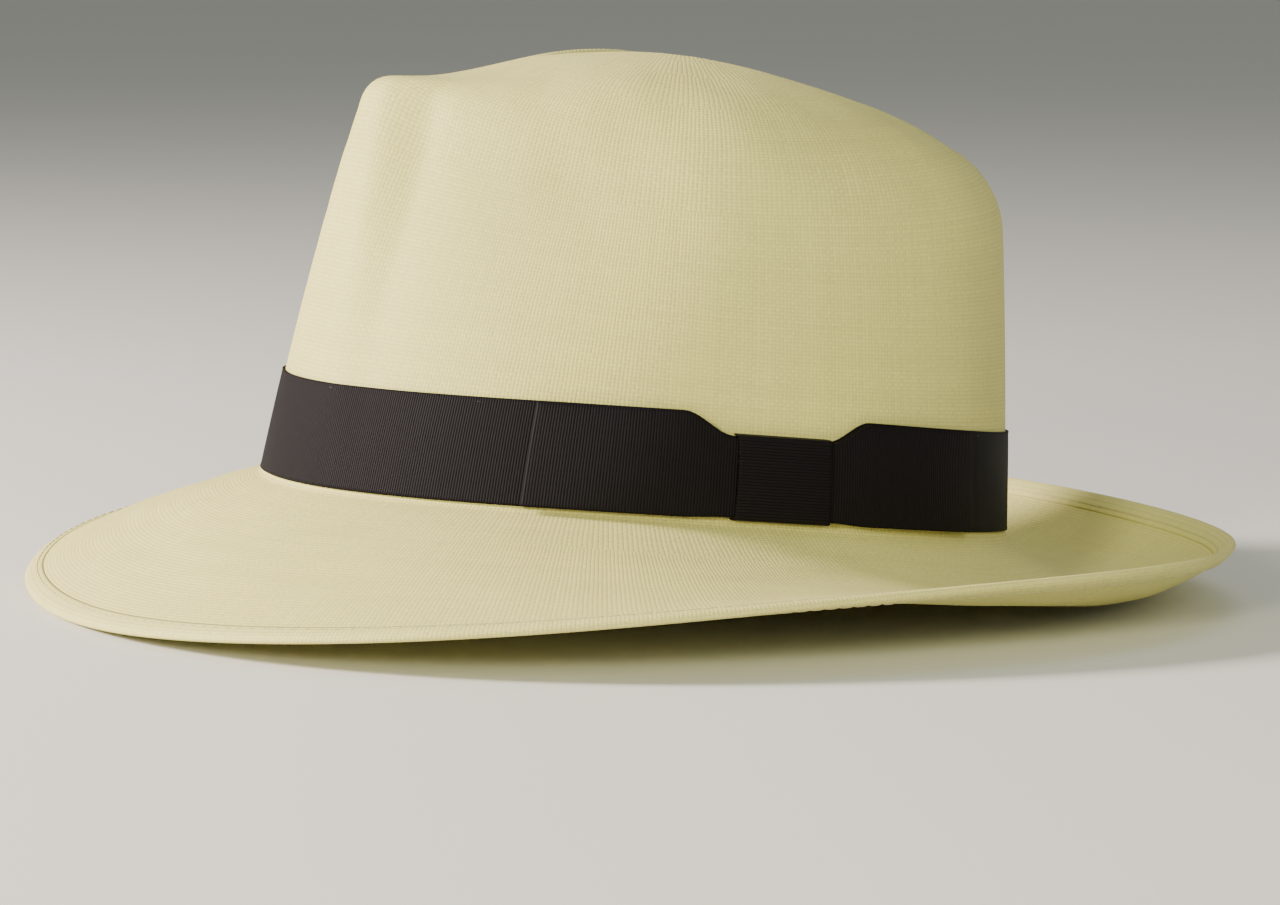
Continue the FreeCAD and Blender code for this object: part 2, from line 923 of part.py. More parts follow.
def make_seam_strip():
    """The strip over the joint of the sweatband's two ends, at the back."""

    def row_net(out):
        half = size.seam_width / 2 / size.head_half_width
        turns = [mix(math.pi - half, math.pi + half, step) for step in stations(LEATHER_ROWS)]
        low, high = LEATHER_FOOT + size.seam_inset, size.leather_top - size.seam_inset
        rises = [mix(low, high, share) for share in stations(LEATHER_ROWS)]
        return [[band_point(turn, rise, out) for turn in turns] for rise in rises]

    outer = row_net(SEAM_OUT)
    inner = row_net(SEAM_OUT - size.seam_thickness)
    shaped("sweatband_seam_strip", sheet_solid(outer, inner, False))


def make_small_bow():
    """A flat bow of narrow ribbon sewn over the foot of the seam."""
    half, wide = size.small_bow_length / 2, size.small_bow_width / 2
    waist = size.small_bow_waist / 2
    loops = [(-half, -wide), (0, -waist), (half, -wide), (half, wide), (0, waist), (-half, wide)]
    body = padded_plate("sweatband_bow", loops, "seam_thickness")
    knot = flat_sketch(body, "knot_outline", "XY_Plane")
    side = size.small_bow_waist + 2 * size.seam_thickness
    add_outline(knot, plate_outline(side, side, size.seam_thickness))
    pad = body.newObject("PartDesign::Pad", "knot")
    pad.Profile = knot
    pad.setExpression("Length", "Sizes.seam_thickness * 2")
    pad.Reversed = True
    out = SEAM_OUT - size.seam_thickness - size.layer_gap - bulge_under(half)
    spot = local_frame(math.pi, size.thread_rise + size.small_bow_width, out)
    body.Placement = STAND.multiply(spot)
    keep(body, "sweatband_bow")


def make_size_tag():
    """A blank tag on the sweatband, beside the seam."""
    outline = plate_outline(size.tag_length, size.tag_width, size.tag_corner)
    body = padded_plate("size_tag", outline, "tag_thickness")
    out = LEATHER_IN - size.layer_gap - bulge_under(size.tag_length / 2)
    spot = local_frame(math.radians(size.tag_angle), size.tag_rise, out)
    body.Placement = STAND.multiply(spot)
    keep(body, "size_tag")


make_crown()
make_brim()
make_hem()
make_hem_thread()
make_ribbon()
make_lap()
make_wing("bow_front_wing", -1)
make_wing("bow_rear_wing", 1)
make_keeper()
make_tacks()
make_sweatband()
make_reed()
make_reed_tape()
make_sweatband_thread()
make_seam_strip()
make_small_bow()
make_size_tag()
doc.recompute()

for thing in doc.Objects:
    if "Invalid" in thing.State or "Error" in thing.State:
        raise ValueError(f"{thing.Name} failed: {thing.State}")
for part in parts:
    if part.Shape.isNull() or not part.Shape.isValid():
        raise ValueError(f"{part.Label} has no valid shape")

print("stand", STAND)
for part in parts:
    part.Shape.exportStep(f"parts/{part.Label}.step")
    box = part.Shape.BoundBox
    print(f"{part.Label}: {part.Shape.Volume:.0f} mm3, {len(part.Shape.Solids)} solids")
    print(f"    x {box.XMin:.1f} {box.XMax:.1f}, y {box.YMin:.1f} {box.YMax:.1f}, z {box.ZMin:.1f} {box.ZMax:.1f}")
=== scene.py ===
"""A woven straw fedora on a plain floor: straw, grosgrain ribbon with a flat bow, and a leather sweatband.

Shapes are worked out in millimetres in the hat's own frame: origin at the centre of the headline oval, +X the
front, +Y the wearer's left and +Z up. to_row stands them on the floor with the rest of the model.
"""

import json
import math

import bpy
import numpy as np
from mathutils import Matrix, Vector


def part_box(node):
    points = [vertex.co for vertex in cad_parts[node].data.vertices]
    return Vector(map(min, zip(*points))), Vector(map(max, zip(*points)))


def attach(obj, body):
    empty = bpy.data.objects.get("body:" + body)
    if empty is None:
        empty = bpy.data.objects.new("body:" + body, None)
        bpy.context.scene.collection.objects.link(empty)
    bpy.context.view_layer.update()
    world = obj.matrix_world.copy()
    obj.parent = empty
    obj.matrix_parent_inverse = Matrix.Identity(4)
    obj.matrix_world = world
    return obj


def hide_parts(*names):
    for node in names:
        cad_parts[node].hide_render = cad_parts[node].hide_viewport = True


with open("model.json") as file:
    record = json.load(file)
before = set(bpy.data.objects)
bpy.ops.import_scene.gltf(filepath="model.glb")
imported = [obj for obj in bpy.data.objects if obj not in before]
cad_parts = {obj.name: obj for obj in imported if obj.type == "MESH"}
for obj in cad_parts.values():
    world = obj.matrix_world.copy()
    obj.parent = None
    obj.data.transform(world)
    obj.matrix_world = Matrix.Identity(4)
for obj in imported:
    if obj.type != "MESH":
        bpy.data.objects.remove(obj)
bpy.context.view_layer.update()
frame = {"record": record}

MM = 0.001

# ---------------------------------------------------------------------------------------------
# Camera. Its angles are those of the line from the hat to the camera, from +X and from level

CAMERA_ANGLE = math.radians(68.49)
CAMERA_RISE = math.radians(6.71)
CAMERA_ROLL = math.radians(-0.73)
CAMERA_DISTANCE = 1.2
CAMERA_AIM = Vector((-0.0029, -0.0011, 0.0365))
CAMERA_LENS = 125.2


def add_camera():
    data = bpy.data.cameras.new("camera")
    data.lens = CAMERA_LENS
    camera = bpy.data.objects.new("camera", data)
    bpy.context.collection.objects.link(camera)
    level = math.cos(CAMERA_RISE)
    toward = Vector((level * math.cos(CAMERA_ANGLE), level * math.sin(CAMERA_ANGLE), math.sin(CAMERA_RISE)))
    turn = (-toward).to_track_quat("-Z", "Y").to_matrix() @ Matrix.Rotation(-CAMERA_ROLL, 3, "Z")
    camera.location = CAMERA_AIM + toward * CAMERA_DISTANCE
    camera.rotation_euler = turn.to_euler()
    bpy.context.scene.camera = camera


add_camera()

# ---------------------------------------------------------------------------------------------
# Sizes


class Hat:
    """The sizes that shape the straw, in millimetres and degrees."""

    half_length, half_width, side_rise = 102.2, 85.2, 4.3
    straw, foot_radius, foot_drop = 1.6, 1.8, 0.9
    front_lean, front_bow = 0.1285, 0.00027
    back_lean, back_bow = 0.0794, 0.00026
    side_lean, side_bow, lean_run = 0.100, 0.00062, 30.0
    crest, crest_forward, nose, nose_spread = 116.9, 1.2, 105.6, 51.2
    back_fall, back_fall_power = 0.00282, 1.969
    dome_fall, dome_lift, dome_front, dome_back, dome_run = 0.0048, 4.0, 30.0, 40.0, 40.0
    shoulder_blend, nose_blend, nose_blend_start, nose_blend_run = 14.0, 7.0, 20.0, 50.0
    crease_depth, crease_forward, crease_half_length = 22.0, -22.0, 62.0
    crease_front_half, crease_back_half, crease_taper_run = 14.0, 38.0, 99.2
    pinch_depth, pinch_forward, pinch_height = 15.0, 44.0, 104.0
    pinch_length, pinch_drop, pinch_sweep = 44.0, 56.0, 0.2
    nose_half, nose_flare, nose_ridge = 5.0, 0.2, 12.0
    brim_widths = (57.8, 70.1, 63.1, 65.2, 55.3)
    edge_level, edge_snap, edge_side_lift, edge_straightness = -10.7, 22.15, 5.0, 0.75
    gutter_depth, gutter_start, gutter_full, gutter_outward = 13.5, 40.0, 140.0, 0.0
    hem_width, hem_thickness, hem_thread_inset = 5.0, 2.6, 3.6
    foot_top = foot_radius - foot_drop


class Band:
    """The ribbon's and the sweatband's sizes, in millimetres."""

    width, thickness, gap, layer_gap = 26.6, 0.5, 0.3, 0.15
    keeper_angle, keeper_width, keeper_dip, keeper_lift = math.radians(92.5), 26.6, 5.6, 0.7
    dip_run, wing_length, wing_puff = 14.0, 54.0, 0.5
    leather, leather_gap, leather_top = 1.0, 0.4, 35.0
    reed_radius, tape, tape_gap = 1.0, 0.35, 0.15
    thread, thread_rise = 0.35, 6.0
    seam_width, seam, seam_inset = 12.0, 0.5, 0.6


def smooth_step(value):
    value = np.clip(value, 0.0, 1.0)
    return value * value * (3 - 2 * value)


def smooth_max(first, second, reach):
    near = np.maximum(reach - np.abs(first - second), 0.0) / reach
    return np.maximum(first, second) + near * near * reach / 4


def mix(first, second, share):
    return first + (second - first) * share


# ---------------------------------------------------------------------------------------------
# The crown as one smooth closed form


def wall_excess(x, y, z):
    """How far a point lies outside the crown's wall, about in mm."""
    front_share = 0.5 + 0.5 * np.tanh(x / Hat.lean_run)
    front_loss = Hat.front_lean * z + Hat.front_bow * z * z
    back_loss = Hat.back_lean * z + Hat.back_bow * z * z
    half_length = Hat.half_length - mix(back_loss, front_loss, front_share)
    half_width = Hat.half_width - Hat.side_lean * z - Hat.side_bow * z * z
    ratio = np.maximum(np.hypot(x / half_length, y / half_width), 1e-6)
    oval = (ratio - 1) * mix(half_width, half_length, (x / half_length / ratio) ** 2)
    below = np.maximum(Hat.pinch_height - z, 0.0)
    along = (x - Hat.pinch_forward - Hat.pinch_sweep * below) / Hat.pinch_length
    above = (z - Hat.pinch_height) / Hat.pinch_drop
    beside_nose = smooth_step((np.abs(y) - Hat.nose_half - Hat.nose_flare * below) / Hat.nose_ridge)
    return oval + Hat.pinch_depth * np.exp(-along * along - above * above) * beside_nose


def crest(x):
    """Height of the ridges along the hat."""
    behind = Hat.crest_forward - x
    front = Hat.nose + (Hat.crest - Hat.nose) * np.exp(-((behind / Hat.nose_spread) ** 2))
    back = Hat.crest - Hat.back_fall * np.maximum(behind, 0.0) ** Hat.back_fall_power
    return np.where(behind < 0, front, back)


def top_height(x, y):
    """Height of the crown's top, with its teardrop crease."""
    half = Hat.crease_half_length
    back_share = smooth_step((Hat.crease_forward + half - x) / Hat.crease_taper_run)
    half_width = mix(Hat.crease_front_half, Hat.crease_back_half, back_share)
    inside = np.maximum(1 - ((x - Hat.crease_forward) / half) ** 2 - (y / half_width) ** 2, 0.0)
    ahead = smooth_step((x - Hat.dome_front) / Hat.dome_run)
    behind = smooth_step((-x - Hat.dome_back) / Hat.dome_run)
    dome = Hat.dome_lift * (1 - ahead - behind) - Hat.dome_fall * y * y
    return crest(x) + dome - Hat.crease_depth * inside**1.5


def crown_excess(point):
    x, y, z = point[..., 0], point[..., 1], point[..., 2]
    nose_share = smooth_step((x - Hat.nose_blend_start) / Hat.nose_blend_run)
    blend = mix(Hat.shoulder_blend, Hat.nose_blend, nose_share)
    return smooth_max(wall_excess(x, y, z), z - top_height(x, y), blend)


RAY_NEAR, RAY_FAR, RAY_HALVINGS = 10.0, 320.0, 36
MIDDLE_SHARE = 0.47
RIPPLE_SIZES = (1.0, 0.7, 0.5)


def crown_hit(start, aim):
    """Where rays from inside the crown meet its outer face, by halving the stretch that they lie in."""
    near, far = np.full(aim.shape[:-1], RAY_NEAR), np.full(aim.shape[:-1], RAY_FAR)
    for _ in range(RAY_HALVINGS):
        middle = (near + far) / 2
        inside = crown_excess(start + aim * middle[..., None]) < 0
        near, far = np.where(inside, middle, near), np.where(inside, far, middle)
    return start + aim * near[..., None]


def unit(vectors):
    return vectors / np.linalg.norm(vectors, axis=-1, keepdims=True)


def stacked(*values):
    return np.stack(np.broadcast_arrays(*values), -1)


def side_rise(angle):
    return Hat.side_rise * np.sin(angle) ** 2


def heading(angle):
    return unit(stacked(Hat.half_length * np.cos(angle), Hat.half_width * np.sin(angle), 0.0))


def outward(angle):
    return unit(stacked(np.cos(angle) / Hat.half_length, np.sin(angle) / Hat.half_width, 0.0))


def band_point(angle, rise, out):
    """A point near the crown's foot: rise above the headline, out from the straw's outer face."""
    angle, rise, out = np.broadcast_arrays(angle, rise, out)
    foot = crown_hit(stacked(0.0, 0.0, side_rise(angle) + rise), heading(angle))
    return foot + outward(angle) * out[..., None]


def hand_ripple(angle, share, size):
    """The slight unevenness of straw blocked by hand, in mm."""
    long, middling, short = RIPPLE_SIZES
    waves = (
        long * np.sin(7 * angle + 3.1 * share * math.pi)
        + middling * np.sin(11 * angle - 5.3 * share * math.pi + 1.3)
        + short * np.sin(19 * angle + 9.1 * share * math.pi + 0.4)
    )
    return size * waves / sum(RIPPLE_SIZES)


def crown_point(angle, share):
    """A point of the crown's outer face, from its foot (0) to the middle of its top (1).

    The rays start on the axis, at MIDDLE_SHARE of the crest's height.
    """
    middle = np.array((0.0, 0.0, MIDDLE_SHARE * Hat.crest))
    foot = band_point(angle, Hat.foot_top, 0.0) - middle
    low = np.arcsin(foot[..., 2] / np.linalg.norm(foot, axis=-1))
    rise = mix(low, math.pi / 2, share)[..., None]
    aim = heading(angle) * np.cos(rise) + np.array((0, 0, 1.0)) * np.sin(rise)
    point = crown_hit(middle, aim)
    free = smooth_step((share - 0.3) / 0.15) * smooth_step((0.9 - share) / 0.4)
    return point + aim * (hand_ripple(angle, share, 0.35) * free)[..., None]


# ---------------------------------------------------------------------------------------------
# The brim


def plan_width(angle):
    """Brim width in plan: a cosine series through five widths from front to back."""
    last = len(Hat.brim_widths) - 1
    total = 0.0
    for order in range(last + 1):
        weight = sum(
            (0.5 if place in (0, last) else 1.0) * width * math.cos(order * place * math.pi / last)
            for place, width in enumerate(Hat.brim_widths)
        )
        total = total + (1.0 if order in (0, last) else 2.0) * weight / last * np.cos(order * angle)
    return total


def edge_height(angle):
    """Height of the brim's edge: snapped down in front, up behind."""
    return Hat.edge_level - Hat.edge_snap * np.cos(angle) - Hat.edge_side_lift * np.cos(2 * angle)


def gutter_depth(angle):
    """How deep the brim sags between the foot and its turned-up edge, more and more to the back."""
    from_front = np.degrees(np.abs(np.arctan2(np.sin(angle), np.cos(angle))))
    run = Hat.gutter_full - Hat.gutter_start
    return Hat.gutter_depth * smooth_step((from_front - Hat.gutter_start) / run)


def foot_curve(distance):
    inward = np.clip(1 - distance / Hat.foot_radius, 0.0, 1.0)
    return Hat.foot_radius * (1 - np.sqrt(1 - inward * inward))


def brim_face(angle, distance):
    """A point of the brim's upper face at a plan distance from the straw's foot."""
    share = distance / plan_width(angle)
    straight = Hat.edge_straightness
    slope = edge_height(angle) * share * (straight + (1 - straight) * share)
    sag = gutter_depth(angle) * 4 * share * (1 - share) * (1 + Hat.gutter_outward * (2 * share - 1))
    start = side_rise(angle) - Hat.foot_drop
    point = band_point(angle, Hat.foot_top, 0.0) + outward(angle) * distance[..., None]
    free = smooth_step((share - 0.1) / 0.2) * smooth_step((0.94 - share) / 0.2)
    ripple = hand_ripple(angle, share, 0.3) * free
    point[..., 2] = start * (1 - share) + slope - sag + foot_curve(distance) + ripple
    return point


def brim_point(angle, distance, depth=0.0):
    """A point of the brim, at a depth below its upper face."""
    angle, distance, depth = np.broadcast_arrays(angle, distance, depth)
    step = 0.01
    run = brim_face(angle, distance + step) - brim_face(angle, np.maximum(distance - step, 0.0))
    across = outward(angle)
    level = (run * across).sum(-1, keepdims=True)
    down = unit(across * run[..., 2:] - np.array((0, 0, 1.0)) * level)
    return brim_face(angle, distance) + down * depth[..., None]


def hem_point(angle, share, side):
    """A point of the turned edge: share 0 at its inner side to 1 at the edge, side -1 on top, 1 below."""
    round_from = 0.55
    toward_edge = np.maximum(share - round_from, 0.0) / (1 - round_from)
    pressed = mix(0.68, 1.0, smooth_step(share / 0.35))
    half = Hat.hem_thickness / 2 * pressed * np.sqrt(np.maximum(1 - toward_edge**2, 0.0))
    distance = plan_width(angle) - Hat.hem_width * (1 - share)
    return brim_point(angle, distance, Hat.straw / 2 + side * half)


# ---------------------------------------------------------------------------------------------
# From the hat's frame to the model's: the head opening's place and direction say how it stands


def standing():
    opening = next(mount for mount in frame["record"]["mounts"] if mount["name"] == "head_opening")
    down = unit(np.array(opening["axis"], float))
    tilt = math.atan2(down[0], -down[2])
    turn = np.array(
        (
            (math.cos(tilt), 0.0, -math.sin(tilt)),
            (0.0, 1.0, 0.0),
            (math.sin(tilt), 0.0, math.cos(tilt)),
        )
    )
    return turn, np.array(opening["pos_m"], float)


TURN, PLACE = standing()


def to_row(points):
    """From the hat's frame in mm to the model's in metres."""
    return points @ TURN.T * MM + PLACE


def from_row(points):
    """From the model's frame in mm to the hat's in mm."""
    return (points - PLACE / MM) @ TURN


# ---------------------------------------------------------------------------------------------
# Shader maths: operators on a wrapped socket add Math nodes


UV_LAYER = "weave"


class Value:
    """One number or colour that varies over a surface."""

    def __init__(self, finish, socket):
        self.finish, self.socket = finish, socket

    def _math(self, operation, *others):
        sockets = dict(enumerate((self, *others)))
        return self.finish.node("ShaderNodeMath", {"operation": operation}, sockets)

    def __add__(self, other):
        return self._math("ADD", other)

    def __mul__(self, other):
        return self._math("MULTIPLY", other)

    __radd__, __rmul__ = __add__, __mul__

    def __sub__(self, other):
        return self._math("SUBTRACT", other)

    def __rsub__(self, other):
        return self * -1 + other

    def __truediv__(self, other):
        return self._math("DIVIDE", other)

    def __pow__(self, other):
        return self._math("POWER", other)

    def __abs__(self):
        return self._math("ABSOLUTE")

    def __gt__(self, other):
        return self._math("GREATER_THAN", other)

    def whole(self):
        return self._math("FLOOR")

    def part(self):
        return self._math("FRACT")

    def sine(self):
        return self._math("SINE")

    def clamped(self):
        return self.finish.node("ShaderNodeClamp", {}, {0: self})


class Finish:
    """A material, with its nodes made by the methods below."""

    def __init__(self, name):
        self.material = bpy.data.materials.new(name)
        self.material.use_nodes = True
        self.tree = self.material.node_tree
        self.shader = self.tree.nodes["Principled BSDF"]

    def feed(self, socket, value):
        """Links a varying value to a socket, or sets a steady one on it."""
        if isinstance(value, Value):
            self.tree.links.new(value.socket, socket)
        else:
            socket.default_value = value

    def node(self, kind, settings, sockets, output=0):
        """Adds a node: its settings first, then the values or links of its sockets, by place or name."""
        made = self.tree.nodes.new(kind)
        for name, setting in settings.items():
            setattr(made, name, setting)
        for key, value in sockets.items():
            self.feed(made.inputs[key], value)
        return Value(self, made.outputs[output])

    def where(self):
        """The place on the piece, in metres."""
        return self.node("ShaderNodeTexCoord", {}, {}, "Object")

    def across_and_along(self):
        """The two numbers of the UV layer."""
        place = self.node("ShaderNodeUVMap", {"uv_map": UV_LAYER}, {})
        apart = {"Vector": place}
        across = self.node("ShaderNodeSeparateXYZ", {}, apart, "X")
        along = self.node("ShaderNodeSeparateXYZ", {}, apart, "Y")
        return across, along

    def joined(self, x, y, z=0.0):
        return self.node("ShaderNodeCombineXYZ", {}, {0: x, 1: y, 2: z})

    def noise(self, place, scale, detail=2.0, rough=0.5):
        sockets = {"Vector": place, "Scale": scale, "Detail": detail, "Roughness": rough}
        return self.node("ShaderNodeTexNoise", {}, sockets)

    def chance(self, number, salt=0.0):
        """A steady random number from 0 to 1 for each whole number."""
        sockets = {"W": number + salt}
        return self.node("ShaderNodeTexWhiteNoise", {"noise_dimensions": "1D"}, sockets, "Value")

    def chance_at(self, x, y):
        place = self.joined(x, y)
        return self.node("ShaderNodeTexWhiteNoise", {"noise_dimensions": "2D"}, {"Vector": place}, "Value")

    def cells(self, place, scale, feature="F1"):
        sockets = {"Vector": place, "Scale": scale}
        return self.node("ShaderNodeTexVoronoi", {"feature": feature}, sockets, "Distance")

    def colour(self, first, second, share):
        """A colour between two colours, each a triple or a link."""
        sockets = {0: share, 6: first, 7: second}
        for key in (6, 7):
            if not isinstance(sockets[key], Value):
                sockets[key] = (*sockets[key], 1)
        return self.node("ShaderNodeMix", {"data_type": "RGBA"}, sockets, 2)

    def tinted(self, colour, tone):
        """A colour times a number."""
        return self.node("ShaderNodeVectorMath", {"operation": "SCALE"}, {0: colour, 3: tone})

    def done(self, colour, rough, height=None, strength=0.0, depth=0.0, **steady):
        """Feeds the shader. height is the relief, and steady holds what is the same all over the surface."""
        inputs = self.shader.inputs
        self.feed(inputs["Base Color"], colour)
        self.feed(inputs["Roughness"], rough)
        for name, value in steady.items():
            self.feed(inputs[name.replace("_", " ").title().replace("Ior", "IOR")], value)
        if height is not None:
            relief = {"Strength": strength, "Distance": depth, "Height": height}
            self.feed(inputs["Normal"], self.node("ShaderNodeBump", {}, relief))
        return self.material


# ---------------------------------------------------------------------------------------------
# Finishes. Ribbons are measured in mm: RIB is one rib of the grosgrain and RIB_THREAD one thread across it

PALE_STRAW, WARM_STRAW = (0.74, 0.695, 0.235), (0.77, 0.70, 0.245)
PALE_HEM, WARM_HEM = (0.76, 0.715, 0.25), (0.78, 0.71, 0.26)
BLACK_SILK, FADED_SILK, LINT = (0.0050, 0.0036, 0.0056), (0.02, 0.017, 0.019), (0.05, 0.046, 0.045)
DEEP_TAN, LIGHT_TAN = (0.33, 0.17, 0.075), (0.40, 0.23, 0.11)
CREAM_COTTON, BLACK_COTTON, TAPE_COTTON = (0.78, 0.73, 0.36), (0.008, 0.007, 0.009), (0.56, 0.48, 0.32)
RIB, RIB_THREAD, TAPE_PITCH = 0.78, 0.32, 0.5


def woven(finish, across, along, flatness=0.45):
    """A plain weave, one strand a unit each way. Gives its height from 0 to 1 and a strand's number."""
    column, row = across.whole(), along.whole()
    turn = ((column + row) * 0.5).part() * 2
    upright = turn > 0.5
    over_across = (across.part() * math.pi).sine()
    over_along = (along.part() * math.pi).sine()
    lying = over_along**flatness * (over_across * 0.45 + 0.55)
    standing_up = over_across**flatness * (over_along * 0.45 + 0.55)
    height = lying + (standing_up - lying) * upright
    strand = row * 1.37 + (column * 1.91 - row * 1.37) * upright
    return height, strand, upright


def straw_finish(name, pale, warm, seed):
    """Split straw in a fine plain weave, each strand a little different, with painted shade in the gaps
    between strands.
    """
    finish = Finish(name)
    across, along = finish.across_and_along()
    place = finish.where()
    sway = finish.noise(place, 90.0, 2.0)
    across, along = across + (sway - 0.5) * 0.5, along + (sway - 0.5) * 0.35
    height, strand, upright = woven(finish, across, along)
    strand_tone = finish.chance(strand, seed)
    cell_tone = finish.chance_at(across.whole(), along.whole())
    dark_strand = (strand_tone > 0.965) * 0.07
    light_strand = (0.06 - strand_tone).clamped() * 1.4
    patches = finish.noise(place, 26.0, 3.0)
    cloud = finish.noise(place, 9.0, 2.0)
    # gap is how deep the weave dips between strands; the tone below darkens these dips as painted shade.
    gap = (1 - height) ** 2.0
    tone = 0.93 + strand_tone * 0.09 + cell_tone * 0.05 - dark_strand + light_strand
    tone = tone + (patches - 0.5) * 0.14 - gap * 0.30 - upright * 0.025
    colour = finish.tinted(finish.colour(pale, warm, (cloud * 1.6 - 0.3).clamped()), tone)
    fibre = finish.noise(finish.joined(across * 9.0, along * 9.0), 1.0, 2.0)
    rough = 0.60 + strand_tone * 0.10 + gap * 0.1
    relief = height + fibre * 0.12
    return finish.done(
        colour, rough, relief, 0.45, 0.00028, specular_ior_level=0.32, sheen_weight=0.05, sheen_roughness=0.5
    )


def grosgrain_finish(name, ribs_along, black):
    """Ribbed silk ribbon, with painted shade in the troughs between its ribs and threads. UV is in mm.
    ribs_along says that the ribs follow one another along U, not V.
    """
    finish = Finish(name)
    across, along = finish.across_and_along()
    count = across if ribs_along else along
    edge = along if ribs_along else across
    place = finish.where()
    waver = finish.noise(place, 220.0, 1.0)
    ribs = abs((count * (math.pi / RIB) + (waver - 0.5) * 0.5).sine())
    thread = abs((edge * (math.pi / RIB_THREAD)).sine())
    rib_tone = finish.chance((count / RIB).whole(), 3.0)
    worn = finish.noise(place, 60.0, 4.0, 0.6)
    # The ribs and thread terms make the crests lighter and the troughs darker: painted shade.
    tone = 0.62 + ribs * 0.5 + rib_tone * 0.10 + thread * 0.08 + (worn - 0.5) * 0.5
    lint = ((finish.noise(place, 900.0, 2.0) - 0.70) * 3.0).clamped()
    colour = finish.colour(finish.tinted(finish.joined(*black), tone), LINT, lint * 0.4)
    rough = 0.52 + (1 - ribs) * 0.25 + (worn - 0.5) * 0.12
    height = ribs**0.6 * (0.86 + thread * 0.14)
    return finish.done(
        colour, rough, height, 0.8, 0.00022, specular_ior_level=0.11, sheen_weight=0.012, sheen_roughness=0.4
    )


def leather_finish():
    """Smooth tan leather: fine grain, faint creases with painted shade along them, darker towards its upper
    edge. V is the height in mm.
    """
    finish = Finish("sweat_leather")
    place = finish.where()
    grain = finish.cells(place, 1500.0)
    fine = finish.noise(place, 3200.0, 3.0)
    crease = finish.cells(place, 240.0, "DISTANCE_TO_EDGE")
    cloud = finish.noise(place, 22.0, 4.0, 0.6)
    rise = finish.across_and_along()[1]
    near_edge = ((rise - 31.0) / 5.0).clamped()
    # The crease term darkens the crease grooves: painted shade.
    tone = 0.86 + cloud * 0.28 - near_edge * 0.16 - (1 - crease * 9.0).clamped() * 0.05
    colour = finish.tinted(finish.colour(DEEP_TAN, LIGHT_TAN, cloud), tone)
    height = grain * 0.6 + fine * 0.3 + (crease * 6.0).clamped() * 0.35
    rough = 0.40 + cloud * 0.18 + near_edge * 0.08
    return finish.done(colour, rough, height, 0.45, 0.00025, specular_ior_level=0.45)


def thread_finish(name, shade):
    """Twisted thread, seen as slanting plies, with painted shade between the plies."""
    finish = Finish(name)
    across, along = finish.across_and_along()
    ply = abs(((along * 2.2 + across * 3.0) * math.pi).sine())
    fuzz = finish.noise(finish.where(), 2500.0, 2.0)
    # The ply term darkens the grooves between plies: painted shade.
    tone = 0.68 + ply * 0.30 + (fuzz - 0.5) * 0.2
    colour = finish.tinted(finish.joined(*shade), tone)
    return finish.done(colour, 0.75 - ply * 0.1, ply, 0.6, 0.0001, sheen_weight=0.1)


def tape_finish(name, shade):
    """A plain woven tape with fine threads, with painted shade where the weave dips. UV is in mm."""
    finish = Finish(name)
    across, along = finish.across_and_along()
    height, strand, upright = woven(finish, across / TAPE_PITCH, along / TAPE_PITCH, 0.6)
    cloud = finish.noise(finish.where(), 70.0, 3.0)
    # The height term darkens the low points of the weave: painted shade.
    tone = 0.80 + height * 0.22 + finish.chance(strand) * 0.07 + (cloud - 0.5) * 0.2 - upright * 0.02
    colour = finish.tinted(finish.joined(*shade), tone)
    return finish.done(colour, 0.82 - height * 0.1, height, 0.6, 0.00012, sheen_weight=0.08)


def reed_finish():
    """Extruded cane, faintly drawn along its length."""
    finish = Finish("reed_plastic")
    place = finish.where()
    drawn = finish.noise(place, 600.0, 2.0)
    cloud = finish.noise(place, 60.0, 3.0)
    colour = finish.colour((0.56, 0.53, 0.42), (0.66, 0.63, 0.53), cloud)
    return finish.done(colour, 0.38 + drawn * 0.12, drawn, 0.2, 0.0001)


def paper_finish():
    """A blank tag: uncoated card with short fibres and a few darker specks."""
    finish = Finish("tag_paper")
    place = finish.where()
    fibre = finish.noise(place, 1400.0, 4.0, 0.7)
    clear = ((finish.cells(place, 520.0) - 0.06) * 12.0).clamped()
    cloud = finish.noise(place, 120.0, 2.0)
    card = finish.colour((0.76, 0.74, 0.68), (0.82, 0.81, 0.77), cloud)
    colour = finish.colour((0.66, 0.62, 0.53), card, clear)
    return finish.done(colour, 0.78 + fibre * 0.12, fibre, 0.3, 0.0001)


# ---------------------------------------------------------------------------------------------
# Meshes from grids of points


def add_piece(name, points, faces, across, along):
    """A smooth piece with one UV layer. across and along hold a number for each corner of each face."""
    mesh = bpy.data.meshes.new(name)
    mesh.from_pydata(points.tolist(), [], faces)
    layer = mesh.uv_layers.new(name=UV_LAYER)
    layer.data.foreach_set("uv", np.stack((across, along), -1).astype(np.float32).ravel())
    mesh.polygons.foreach_set("use_smooth", [True] * len(mesh.polygons))
    piece = bpy.data.objects.new(name, mesh)
    bpy.context.collection.objects.link(piece)
    return piece


